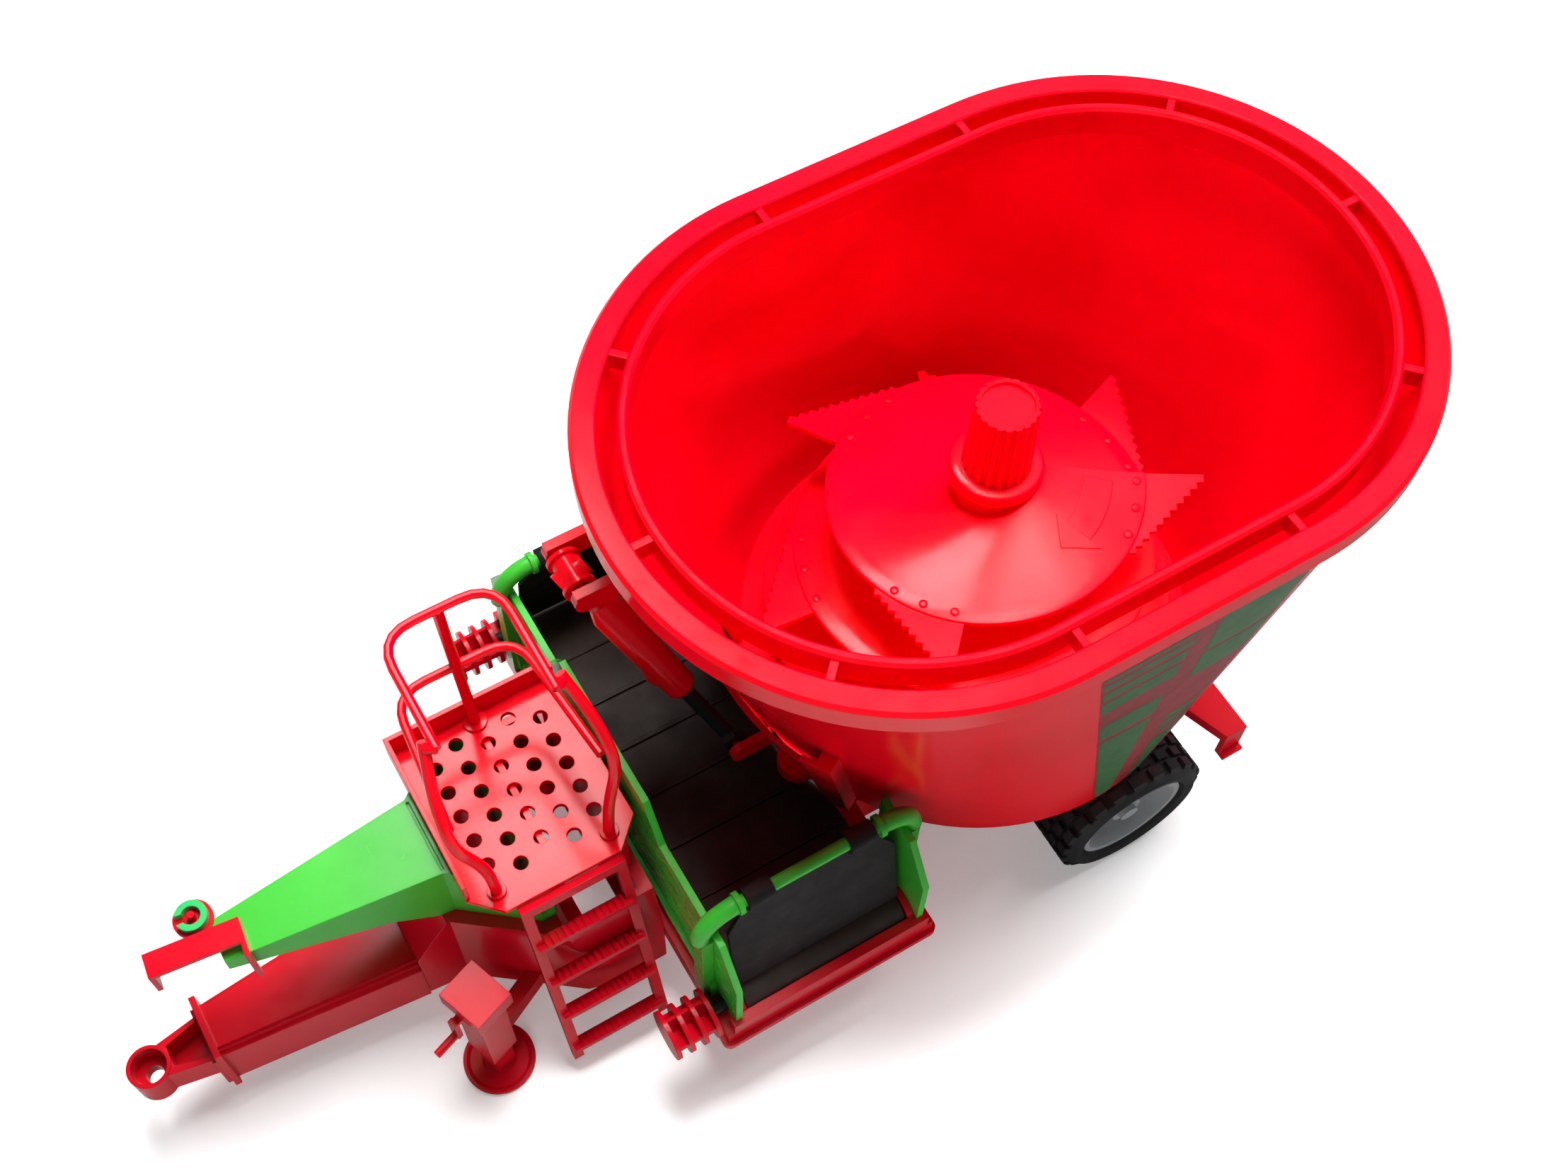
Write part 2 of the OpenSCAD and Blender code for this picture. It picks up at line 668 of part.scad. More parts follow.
module tyre() {
    w = tyre_w / 2 - 1.8;
    tread = tyre_r - lug_h;
    step = 360 / lugs;
    color(black) {
        rotate_extrude() polygon([[seat_r + seat, -w + 1], [seat_r + 1, -w + 0.8], [seat_r + 2, -w - 1.2],
            [tread - 2.2, -w - 1.8], [tread, -w], [tread, w], [tread - 2.2, w + 1.8],
            [seat_r + 2, w + 1.2], [seat_r + 1, w - 0.8], [seat_r + seat, w - 1]]);
        for (k = [0 : lugs - 1], s = [-1, 1]) rotate([0, 0, (k + (s > 0 ? 0.5 : 0)) * step]) {
            rotate_extrude(angle = 0.62 * step) polygon([[tread - 1, s * 4.6], [tyre_r, s * 4.6],
                [tyre_r, s * (w - 0.4)], [tread - 2.4, s * (w + 1.2)], [tread - 2.4, s * w]]);
            rotate([0, 0, 0.3 * step]) rotate_extrude(angle = 0.58 * step)
                polygon([[tread - 1, s * 0.6], [tyre_r, s * 0.6], [tyre_r, s * 3.6], [tread - 1, s * 3.6]]);
        }
    }
}

module on_hub(s) {
    translate([-axle_back, s * track_half, tyre_r]) rotate([-90 * s, 0, 0]) children();
}

module drawbar() {
    color(red) difference() {
        union() {
            translate([0, 0, bar_low]) {
                linear_extrude(bar_top - 3 - bar_low) bar_plan(bar_front_half, bar_rear_half);
                linear_extrude(bar_top - 1.2 - bar_low) bar_plan(bar_front_half - 1, bar_rear_half - 1.4);
                linear_extrude(bar_top - bar_low) bar_plan(bar_front_half - 1.8, bar_rear_half - 2.6);
            }
            translate([collar_x, -bar_front_half - 1.6, bar_low - 1.8])
                cube([1.8, 2 * bar_front_half + 3.2, bar_top - bar_low + 3.4]);
            translate([collar_x + 1, -bar_front_half - 0.4, bar_low - 0.4])
                cube([2.2, 2 * bar_front_half + 0.8, eye_top + 1.4 - bar_low]);
            translate([0, 0, eye_top - 12]) linear_extrude(11.4) polygon([[collar_x + 1, -7.4],
                [collar_x + 1, 7.4], [eye_x - 2, 4.6], [eye_x - 2, -4.6]]);
            translate([eye_x, 0, eye_top - 12]) cylinder(r = eye_r, h = 12);
        }
        translate([0, 0, bar_low - 1]) linear_extrude(bar_top - bar_low - 2.5) difference() {
            bar_plan(bar_front_half - 2, bar_rear_half - 2);
            translate([collar_x - 3, -20]) square([10, 40]);
            translate([tower_x - 5, -20]) square([8, 40]);
        }
        translate([0, 0, eye_top - 9.6]) linear_extrude(20) polygon([[collar_x + 2.6, -5.8],
            [collar_x + 2.6, 5.8], [eye_x - eye_r, 3.2], [eye_x - eye_r, -3.2]]);
        translate([eye_x, 0, eye_top - 7.4]) cylinder(r = eye_r - 1.1, h = 10);
        translate([eye_x, 0, 0]) cylinder(r = eye_bore, h = 50);
    }
}

module bar_plan(front, rear) {
    polygon([[collar_x + 1, -front], [collar_x + 1, front], [tower_x + seat, rear], [tower_x + seat, -rear]]);
}

// The plan of the front cover, drawn in by w
module cover_plan(w) {
    half = [[cover_tip - w, cover_tip_half - w], [tower_x - 15, 12 - w],
        [tower_x - 34, floor_half - 1.5 - w], [tower_x - 38 + w, floor_half - 1.5 - w]];
    polygon(concat(half, [for (i = [3 : -1 : 0]) [half[i].x, -half[i].y]]));
}

module front_cover() {
    w = 1.8;
    under = floor_z - floor_t;
    step_x = floor_front + seat;
    color(green) difference() {
        intersection() {
            translate([0, 0, tower_z]) linear_extrude(cover_z - tower_z) cover_plan(0);
            side_slab(-40, 80) polygon([[cover_tip, cover_z], [cover_tip, cover_z - 5.5],
                [tower_x + 2, tower_z + 8.7], [tower_x - nose_back + 2, tower_z + 1],
                [tower_x - nose_back, tower_z], [tower_x - 39, tower_z], [tower_x - 39, under],
                [step_x, under], [step_x, cover_z]]);
        }
        intersection() {
            translate([0, 0, tower_z - 1]) linear_extrude(cover_z - tower_z) cover_plan(w);
            side_slab(-40, 80) polygon([[cover_tip - 8, cover_z - w], [cover_tip - 8, 50],
                [tower_x - 36.2, 50], [tower_x - 36.2, under + 1], [step_x - 2, under + 1],
                [step_x - 2, under - w], [step_x + w, under - w], [step_x + w, cover_z - w]]);
        }
        translate([step_x + 1.2, -11, cover_z - 0.8]) cube([0.8, 22, 2]);
    }
}

module hose_bracket() {
    top = cover_z + 4.8;
    color(red) translate([cover_tip - 3.5, 1.4, 0]) rotate([0, 0, -6]) {
        translate([-4, -3.4, top - 1.6]) cube([25, 6.8, 1.6]);
        translate([-4, -3.4, cover_z + 0.1]) cube([25, 1.2, top - cover_z - 0.2]);
        translate([19.6, -3.4, top - 10]) cube([1.4, 6.8, 10]);
        translate([-4, -3.4, cover_z + 0.1]) cube([1.4, 11, top - cover_z - 0.1]);
        translate([-4, 6, cover_z - 11]) cube([1.4, 1.6, 13]);
        translate([6, -8, cover_z + 0.1]) cube([2.4, 5.4, 1.4]);
        translate([7, -9, cover_z + 0.1]) cylinder(r = 5.2, h = 1.4);
        translate([7, -9, cover_z + 1]) cylinder(r = 1, h = 3.4);
        translate([0, 0, cover_z]) cylinder(r = 2, h = 4);
    }
}

module hose_clip() {
    color(green) translate([cover_tip - 3.5, 1.4, 0]) rotate([0, 0, -6])
        translate([7, -9, cover_z + 1.5]) difference() {
            cylinder(r = 4.2, h = 2.4);
            translate([0, 0, -1]) cylinder(r = 2.5, h = 5);
            translate([0, -1.2, -1]) cube([6, 2.4, 5]);
        }
}

// The plan of the platform's floor, drawn in by w, with both corners cut on the ladder side
module floor_plan(w = 0) {
    cut = 7.8;
    polygon([[floor_rear + w, -floor_half + w], [floor_front - w, -floor_half + w],
        [floor_front - w, floor_half - cut], [floor_front - cut, floor_half - w],
        [floor_rear + cut, floor_half - w], [floor_rear + w, floor_half - cut]]);
}

module platform() {
    mid = (floor_rear + floor_front) / 2;
    color(red) {
        difference() {
            translate([0, 0, floor_z - floor_t]) linear_extrude(floor_t) floor_plan();
            for (c = [-2 : 2]) let (rows = c % 2 == 0 ? 5 : 6) for (k = [0 : rows - 1])
                translate([mid - 0.3 + c * hole_pitch, (k - (rows - 1) / 2) * hole_pitch - 1.4, 0])
                    cylinder(r = floor_hole_r, h = 200);
        }
        translate([0, 0, floor_z - eps]) linear_extrude(floor_wall_h) difference() {
            floor_plan();
            floor_plan(1.3);
            translate([floor_rear - 1, floor_half - 7.8]) square([floor_len + 2, 20]);
            translate([floor_rear - 1, -floor_half + 3]) square([10, 2 * floor_half]);
        }
        for (x = [conv_front + 5.4, tower_x - 43]) translate([x, -24, tower_z])
            cube([2, 48, floor_z - floor_t - tower_z + eps]);
        translate([mid, -floor_half + 3.6, floor_z - eps]) cylinder(r = 3.4, h = 0.9);
        for (s = [-1, 1]) translate([mid + s * 16.6, floor_half - 6.2, floor_z - eps])
            cylinder(r = 2.6, h = 1.4);
    }
}

module handrail() {
    m = (floor_rear + floor_front) / 2;
    up = floor_z + rail_upper;
    low = floor_z + rail_lower;
    top_path = [[m - 14.6, 6.5, up], [m - 14.6, -28, up], [m + 17.4, -28, up], [m + 17.4, 6.5, up]];
    low_path = [[m - 20, 15.5, low + 1.5], [m - 16.5, -26.5, low], [m + 18.5, -26.5, low],
        [m + 22.2, 15.5, low + 1.5]];
    color(red) {
        tube(rounded(top_path, 10), rail_r);
        tube(rounded(low_path, 9), rail_r);
        tube([[m, -floor_half + 3.6, floor_z + 0.95], [m + 1.2, -28, up]], rail_r + 0.3, [1, 0, 0]);
        for (s = [-1, 1]) let (c = m + 1.1 + s * 0.3) tube(rounded([
            [m + s * 16.6, floor_half - 6.2, floor_z + 1.45], [m + s * 17.4, floor_half - 6.2, floor_z + 17],
            [c + s * 22.6, 21.6, floor_z + 37], [c + s * 21.6, 13, floor_z + 48],
            [c + s * 18, 3, up]], 8), post_r, [1, 0, 0]);
        for (s = [-1, 1]) tube([[m + 1.4 + s * 16, 6.5, up], [m + 1.4 + s * 18.6, 4.6, up - 0.6]], rail_r);
    }
}

module ladder() {
    length = floor_z - 7;
    lean = atan(ladder_out / length);
    mid = (floor_rear + floor_front) / 2 - 1.4;
    rail = 3;
    color(red) translate([mid, floor_half + seat, floor_z - floor_t]) rotate([lean, 0, 0]) {
        for (s = [-1, 1]) translate([s * (ladder_w / 2 - rail / 2) - rail / 2, 0, -length])
            cube([rail, 2.6, length]);
        translate([-ladder_w / 2, 0, -3]) cube([ladder_w, 2.6, 3]);
        for (k = [1 : ladder_steps]) translate([0, 0, -step_pitch * k + 1.4]) {
            translate([-ladder_w / 2 + 1, 0, -1.6]) cube([ladder_w - 2, 4.2, 1.6]);
            translate([-ladder_w / 2 + 1, 0.6, -3.4]) cube([ladder_w - 2, 1.4, 2]);
            for (i = [0 : tread_ribs - 1])
                translate([(i + 0.15 - tread_ribs / 2) * (ladder_w - 2 * rail) / tread_ribs, 0.4, -eps])
                cube([0.6 * (ladder_w - 2 * rail) / tread_ribs, 4.2, 0.7]);
        }
    }
}

module jack_housing() {
    color(red) difference() {
        union() {
            translate([jack_x, jack_y, 0]) rotate([0, 0, jack_turn]) {
                translate([-4.6, -5, 18]) cube([9.2, 10, jack_z - 18 - 3]);
                translate([-6.3, -7.3, jack_z - 7]) cube([12.6, 14.6, 7]);
            }
            translate([jack_x, jack_y, 20]) rotate([0, 0, -153]) translate([0, -2.4, 0])
                cube([24, 4.8, 8]);
        }
        translate([0, 0, chassis_z - 1]) linear_extrude(tower_z) front_plan(-seat, conv_front);
    }
}

module jack_leg() {
    color(red) translate([jack_x, jack_y, 0]) {
        rotate_extrude() polygon([[0, 0], [foot_r - 1, 0], [foot_r, 0.8], [foot_r, 2.2], [foot_r - 1, 2.2],
            [foot_r - 2, 1.4], [5, 1.4], [4.4, 2.4], [0, 2.4]]);
        rotate([0, 0, jack_turn]) translate([-3.4, -3.6, 2]) cube([6.8, 7.2, 16]);
    }
}

module jack_crank() {
    z = jack_z - 11;
    color(red) translate([jack_x, jack_y, 0]) rotate([0, 0, jack_turn]) {
        translate([4.6 + seat, -2, z]) rotate([0, 90, 0]) cylinder(r = 1.4, h = 3);
        translate([7.2, -3.4, z - 9]) cube([1.6, 2.8, 10.4]);
        translate([8, -2, z - 8]) rotate([0, 90, 0]) cylinder(r = 1.2, h = 8);
    }
}

module conveyor_base() {
    x0 = conv_rear - 3.3;
    x1 = conv_front + 3.3;
    color(red) difference() {
        union() {
            translate([x0, -conv_end, rail_top]) cube([x1 - x0, 2 * conv_end, 1.6]);
            for (x = [x0, x1 - 7.4]) translate([x, -conv_end, rail_top])
                cube([7.4, 2 * conv_end, beam_top - rail_top]);
            for (s = [-1, 1]) translate([x0 + 2, s * (conv_end - 1.5) - 1.5, rail_top])
                cube([x1 - x0 - 4, 3, roller_z + 2 - rail_top]);
            for (s = [-1, 1]) hull() for (x = [x0 + 1, x1 - 1], y = [conv_end - 1, conv_end - 8])
                translate([x, s * y, rail_top]) cylinder(r = 2.4, h = 2.4, $fn = 24);
            for (s = [-1, 1], x = [conv_rear + plate_t + 0.1, conv_front - plate_t - 2.1])
                cross_plate(x, 2) {
                    translate([s * roller_y, roller_z]) circle(5.6);
                    translate([s * roller_y - 5.2, rail_top]) square([10.4, roller_z - rail_top]);
                }
        }
        for (s = [-1, 1]) bar_x(x0 - 1, x1 + 1, s * roller_y, roller_z, shaft_r + run_gap);
    }
}

// The outline of one end of a side plate, from y = inner out to the wing's edge
module plate_end(inner) {
    bar_in = conv_end - 3 - seat;
    bar_up = roller_z + 2 + seat;
    polygon([[inner, beam_top], [bar_in, beam_top], [bar_in, bar_up], [conv_end - 1.5, bar_up],
        [conv_end - 1.5, 69], [conv_end - 10.5, plate_low], [inner, plate_low]]);
}

module front_plate() {
    color(green) difference() {
        union() {
            cross_plate(conv_front - plate_t, plate_t) {
                for (s = [0, 1]) mirror([s, 0]) plate_end(0);
                polygon([[-32, plate_low - 1], [32, plate_low - 1], [32, plate_low], [24, plate_high],
                    [-24, plate_high], [-32, plate_low]]);
            }
            translate([conv_front - 0.5, -hinge_y + 5, beam_top + 4])
                cube([2, 2 * hinge_y - 10, 2]);
        }
        for (s = [-1, 1]) bar_x(conv_rear, conv_front + 3, s * roller_y, roller_z, shaft_r + 0.4);
    }
}

module rear_plate(s) {
    color(green) cross_plate(conv_rear, plate_t) mirror([s < 0 ? 1 : 0, 0])
        plate_end(hinge_y - 8.8);
}

module hoop(s) {
    bar_end = hinge_half + 0.8;
    leg = 3.4;
    bend = conv_half + seat + elbow_r - bar_end;
    y = s * hinge_y;
    color(green) {
        bar_x(conv_x - hinge_half, conv_x + hinge_half, y, hinge_z, hinge_r);
        for (m = [0, 1]) translate([conv_x, y, 0]) mirror([m, 0, 0]) {
            bar_x(hinge_half - 0.6, bar_end + 0.2, 0, hinge_z, elbow_r + 0.7);
            translate([bar_end, 0, hinge_z - bend]) rotate([90, 0, 0])
                rotate_extrude(angle = 90) translate([bend, 0]) circle(elbow_r);
            translate([conv_half + seat, -2.7, beam_top])
                cube([leg, 5.4, hinge_z - bend - beam_top + 0.4]);
            translate([conv_half + seat, -4, beam_top]) cube([leg - 1.4, 8, 10]);
        }
    }
}

module flap(s) {
    drop = hinge_z - roller_z - roller_r - belt_t - 1.4;
    clip_x = 15.5;
    wide = conv_half - plate_t - 2.4;
    color(black) translate([conv_x, s * hinge_y, hinge_z]) rotate([s * flap_tilt, 0, 0]) difference() {
        union() {
            side_slab(-flap_t / 2, flap_t) polygon([[-hinge_half + 1.8, -2.4], [hinge_half - 1.8, -2.4],
                [wide, -12], [wide, -drop], [-wide, -drop], [-wide, -12]]);
            for (x = [-1, 1]) {
                bar_x(x * clip_x - 4, x * clip_x + 4, 0, 0, hinge_r + 1.3);
                translate([x * clip_x - 4, -flap_t / 2 - 0.5, -4.4]) cube([8, flap_t + 1, 2.8]);
            }
        }
        bar_x(-conv_half, conv_half, 0, 0, hinge_r + run_gap);
    }
}

// The belt's outline round the rollers, grown by r
module belt_outline(r) {
    for (s = [-1, 1]) translate([s * roller_y, roller_z]) circle(r);
    translate([-roller_y, roller_z - r]) square([2 * roller_y, 2 * r]);
}

module belt() {
    x0 = conv_rear + plate_t + 2.6;
    w = conv_front - plate_t - 2.6 - x0;
    color(black) {
        cross_plate(x0, w) difference() {
            belt_outline(roller_r + 0.1 + belt_t);
            belt_outline(roller_r + 0.1);
        }
        for (k = [-3 : 3]) translate([x0, k * ridge_pitch + 4.3 - 0.6, roller_z + roller_r + belt_t - 0.2])
            cube([w, 1.2, ridge_h + 0.3]);
    }
}

module roller(s) {
    color(black) {
        bar_x(conv_rear + plate_t + 2.5, conv_front - plate_t - 2.5, s * roller_y, roller_z, roller_r);
        bar_x(conv_rear + plate_t + 0.2, knob_x, s * roller_y, roller_z, shaft_r);
    }
}

module knob(s) {
    length = 14;
    color(red) translate([knob_x, s * roller_y, roller_z]) {
        for (k = [0 : 3]) bar_x(k * (length - 1.4) / 3, k * (length - 1.4) / 3 + 1.4, 0, 0, disc_r);
        for (a = [0, 90]) rotate([a + 20, 0, 0]) translate([0.4, -disc_r + 1, -0.6])
            cube([length - 0.8, 2 * disc_r - 2, 1.2]);
    }
}

module rear_bumper() {
    rear = -bumper_back;
    tip = track_half + 5;
    color(red) {
        translate([0, 0, rail_top]) linear_extrude(4) polygon([[rear, -tip], [rear, tip],
            [rear + 7.5, tip], [rear + 19, chassis_half], [rear + 11, 20], [rear + 11, -20],
            [rear + 19, -chassis_half], [rear + 7.5, -tip]]);
        for (s = [-1, 1]) {
            translate([rear, s * (tip - 1) - 1, rail_top - 9]) cube([7.5, 2, 11]);
            translate([rear, s * tip - 2, rail_top - 9]) cube([7.5, 4, 1.6]);
        }
    }
}

translate([origin_x, 0, 0]) {
    tub();
    spill_ring();
    auger();
    auger_knob();
    discharge_door();
    cylinder_pin();
    cylinder_barrel();
    cylinder_rod();
    chassis();
    axle();
    on_hub(1) wheel();  // wheel_left
    on_hub(-1) wheel();  // wheel_right
    on_hub(1) tyre();  // tyre_left
    on_hub(-1) tyre();  // tyre_right
    drawbar();
    front_cover();
    hose_bracket();
    hose_clip();
    platform();
    handrail();
    ladder();
    jack_housing();
    jack_crank();
    jack_leg();
    conveyor_base();
    front_plate();
    rear_plate(1);  // rear_plate_left
    rear_plate(-1);  // rear_plate_right
    hoop(1);  // hoop_left
    hoop(-1);  // hoop_right
    flap(1);  // flap_left
    flap(-1);  // flap_right
    belt();
    roller(1);  // roller_left
    roller(-1);  // roller_right
    knob(1);  // knob_left
    knob(-1);  // knob_right
    rear_bumper();
}
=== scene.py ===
"""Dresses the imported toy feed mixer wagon: moulded plastic, rubber, printed stripes and studio."""

import math

import bmesh
import bpy
from mathutils import Matrix, Vector


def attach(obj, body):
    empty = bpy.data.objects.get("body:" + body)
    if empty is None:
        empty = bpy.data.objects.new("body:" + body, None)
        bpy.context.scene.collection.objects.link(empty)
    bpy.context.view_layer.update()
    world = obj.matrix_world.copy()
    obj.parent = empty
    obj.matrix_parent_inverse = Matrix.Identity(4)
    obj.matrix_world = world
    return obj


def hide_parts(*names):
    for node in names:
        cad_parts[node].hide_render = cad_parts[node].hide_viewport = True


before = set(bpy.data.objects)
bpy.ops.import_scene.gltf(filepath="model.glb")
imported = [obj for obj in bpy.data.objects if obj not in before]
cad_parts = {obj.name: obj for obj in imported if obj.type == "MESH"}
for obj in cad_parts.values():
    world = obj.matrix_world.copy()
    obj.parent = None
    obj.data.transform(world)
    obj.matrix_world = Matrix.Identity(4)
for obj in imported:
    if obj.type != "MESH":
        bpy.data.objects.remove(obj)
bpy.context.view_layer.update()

# Sizes in this script are in mm, unless a comment says metres

MM = 0.001  # metres in a mm
SHIFT_X = -79.05  # the auger's axis in the part's frame
RIM_HALF = 33.7  # half the length of the straight sides of the tub's rim
TUB_TOP_R, TUB_BOTTOM_R = 77.6, 70.0
TUB_BOTTOM_Z, TUB_TOP_Z = 52.0, 179.0


def at(x, y, z):
    """A point measured from the auger's axis and the floor, as metres in the part's frame."""
    return Vector(((x + SHIFT_X) * MM, y * MM, z * MM))


# Materials, whose lengths are in metres

FLOW_SCALE, GLOSS_SCALE, SKIN_SCALE = 28.0, 160.0, 900.0
SKIN_HEIGHT = 0.000008
SMUDGE_SCALE, WEAR_SCALE = 45.0, 120.0
MOULDED_EDGE, RUBBER_EDGE = 0.00035, 0.0003
GLOW_DEPTH = (0.003, 0.0006, 0.0005)  # how far red, green and blue light goes into the plastic


def shader(name, color, roughness):
    mat = bpy.data.materials.new(name)
    mat.use_nodes = True
    tree = mat.node_tree
    bsdf = tree.nodes["Principled BSDF"]
    bsdf.inputs["Base Color"].default_value = (*color, 1)
    bsdf.inputs["Roughness"].default_value = roughness
    return mat, tree, bsdf


def noise(tree, scale, detail=4.0, rough=0.6):
    coords = tree.nodes.new("ShaderNodeTexCoord")
    node = tree.nodes.new("ShaderNodeTexNoise")
    node.inputs["Scale"].default_value = scale
    node.inputs["Detail"].default_value = detail
    node.inputs["Roughness"].default_value = rough
    tree.links.new(coords.outputs["Object"], node.inputs["Vector"])
    return node.outputs["Fac"]


def spread(tree, value, low, high, start=0.3, end=0.7):
    """Takes value from the range start to end into low to high."""
    node = tree.nodes.new("ShaderNodeMapRange")
    node.inputs["From Min"].default_value = start
    node.inputs["From Max"].default_value = end
    node.inputs["To Min"].default_value = low
    node.inputs["To Max"].default_value = high
    tree.links.new(value, node.inputs["Value"])
    return node.outputs["Result"]


def mottle(tree, bsdf, value, dark, light):
    """A colour that goes from dark to light with value."""
    ramp = tree.nodes.new("ShaderNodeMix")
    ramp.data_type = "RGBA"
    ramp.inputs[6].default_value = (*dark, 1)
    ramp.inputs[7].default_value = (*light, 1)
    tree.links.new(value, ramp.inputs[0])
    tree.links.new(ramp.outputs[2], bsdf.inputs["Base Color"])


def relief(tree, bsdf, value, height, edge=0.0):
    """Bump from value, over edges that are rounded by edge metres."""
    bump = tree.nodes.new("ShaderNodeBump")
    bump.inputs["Strength"].default_value = 1.0
    bump.inputs["Distance"].default_value = height
    tree.links.new(value, bump.inputs["Height"])
    if edge:
        bevel = tree.nodes.new("ShaderNodeBevel")
        bevel.samples = 4
        bevel.inputs["Radius"].default_value = edge
        tree.links.new(bevel.outputs["Normal"], bump.inputs["Normal"])
    tree.links.new(bump.outputs["Normal"], bsdf.inputs["Normal"])


def plastic(name, dark, light, rough, edge=MOULDED_EDGE, glow=0.12):
    """Moulded plastic: faint flow marks, uneven gloss and softly rounded edges."""
    mat, tree, bsdf = shader(name, light, rough[0])
    flow = noise(tree, FLOW_SCALE, 5.0)
    mottle(tree, bsdf, spread(tree, flow, 0.0, 1.0), dark, light)
    gloss = noise(tree, GLOSS_SCALE, 6.0, 0.7)
    tree.links.new(spread(tree, gloss, *rough), bsdf.inputs["Roughness"])
    relief(tree, bsdf, noise(tree, SKIN_SCALE, 3.0), SKIN_HEIGHT, edge)
    bsdf.inputs["Subsurface Weight"].default_value = glow
    bsdf.inputs["Subsurface Radius"].default_value = GLOW_DEPTH
    bsdf.inputs["IOR"].default_value = 1.5
    return mat


def rubber(name, dark, light, rough, grain=500.0, height=0.00003):
    """Rubber: smudges, uneven wear and a fine grain of the given height."""
    mat, tree, bsdf = shader(name, dark, rough[0])
    smudge = noise(tree, SMUDGE_SCALE, 7.0, 0.7)
    mottle(tree, bsdf, spread(tree, smudge, 0.0, 1.0, 0.35, 0.75), dark, light)
    tree.links.new(spread(tree, noise(tree, WEAR_SCALE), *rough), bsdf.inputs["Roughness"])
    relief(tree, bsdf, noise(tree, grain, 5.0), height, RUBBER_EDGE)
    return mat


RED = plastic("red_plastic", (0.74, 0.0, 0.006), (0.84, 0.0, 0.011), (0.11, 0.2))
SATIN_RED = plastic("satin_red_plastic", (0.52, 0.001, 0.009), (0.57, 0.001, 0.012), (0.15, 0.24),
                    glow=0.05)
GREEN = plastic("green_plastic", (0.035, 0.38, 0.025), (0.05, 0.45, 0.035), (0.16, 0.28))
CLIP_GREEN = plastic("clip_green_plastic", (0.02, 0.4, 0.1), (0.03, 0.48, 0.13), (0.25, 0.35))
GREY = plastic("grey_plastic", (0.26, 0.28, 0.29), (0.33, 0.35, 0.36), (0.32, 0.42))
BLACK = plastic("black_plastic", (0.008, 0.008, 0.009), (0.014, 0.014, 0.015), (0.3, 0.42), glow=0.0)
SHEET = rubber("black_sheet", (0.006, 0.005, 0.005), (0.011, 0.009, 0.009), (0.55, 0.7), 700.0, 0.00001)
BELT = rubber("belt_rubber", (0.022, 0.014, 0.012), (0.05, 0.036, 0.031), (0.42, 0.6))
TYRE = rubber("tyre_rubber", (0.009, 0.009, 0.01), (0.02, 0.02, 0.021), (0.4, 0.55), 900.0)
PRINT_GREEN = plastic("print_green", (0.03, 0.13, 0.035), (0.036, 0.155, 0.042), (0.26, 0.36),
                      edge=0, glow=0)
PRINT_RED = plastic("print_red", (0.26, 0.008, 0.016), (0.31, 0.01, 0.02), (0.26, 0.36), edge=0, glow=0)

LOOKS = {  # the CAD nodes of each material
    RED: "tub spill_ring auger auger_knob discharge_door cylinder_pin cylinder_barrel platform handrail",
    SATIN_RED: "chassis drawbar hose_bracket ladder jack_housing jack_crank jack_leg conveyor_base"
    " knob_left knob_right rear_bumper",
    GREEN: "front_cover front_plate rear_plate_left rear_plate_right hoop_left hoop_right",
    CLIP_GREEN: "hose_clip",
    GREY: "wheel_left wheel_right axle",
    BLACK: "cylinder_rod roller_left roller_right",
    SHEET: "flap_left flap_right",
    BELT: "belt",
    TYRE: "tyre_left tyre_right",
}


FOLD, PIECE_FOLD, AUGER_FOLD = 32, 40, 34  # sharpest angle, in degrees, that is still shaded smooth
WELD_REACH = 2e-6  # metres


def soften(obj, angle):
    """Smooth shading on curved faces, with sharp folds kept."""
    mesh = obj.data
    work = bmesh.new()
    work.from_mesh(mesh)
    limit = math.radians(angle)
    for face in work.faces:
        face.smooth = True
    for edge in work.edges:
        edge.smooth = len(edge.link_faces) == 2 and edge.calc_face_angle(0.0) < limit
    work.to_mesh(mesh)
    work.free()
    if "custom_normal" in mesh.attributes:
        mesh.attributes.remove(mesh.attributes["custom_normal"])


def refine(obj):
    """Joins the seams of a CAD node's shading and keeps its sharp folds; its vertices stay as they are."""
    for name in ("custom_normal", "sharp_edge"):
        if name in obj.data.attributes:
            obj.data.attributes.remove(obj.data.attributes[name])
    obj.data.polygons.foreach_set("use_smooth", [True] * len(obj.data.polygons))
    weld = obj.modifiers.new("weld", "WELD")
    weld.merge_threshold = WELD_REACH
    split = obj.modifiers.new("folds", "EDGE_SPLIT")
    split.split_angle = math.radians(FOLD)
    split.use_edge_sharp = False


for mat, names in LOOKS.items():
    for name in names.split():
        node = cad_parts[name]
        node.data.materials.clear()
        node.data.materials.append(mat)
        refine(node)


def piece(name, verts, faces, mat, body, smooth=True):
    """A new object that rides on a body, with its faces turned outwards."""
    mesh = bpy.data.meshes.new(name)
    mesh.from_pydata([tuple(v) for v in verts], [], faces)
    mesh.materials.append(mat)
    work = bmesh.new()
    work.from_mesh(mesh)
    bmesh.ops.recalc_face_normals(work, faces=work.faces)
    work.to_mesh(mesh)
    work.free()
    obj = bpy.data.objects.new(name, mesh)
    bpy.context.scene.collection.objects.link(obj)
    mesh.update()
    if smooth:
        soften(obj, PIECE_FOLD)
    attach(obj, body)
    return obj


# The auger as dressed: a smooth dished flight on its hub, with knives, rivets and a raised arrow

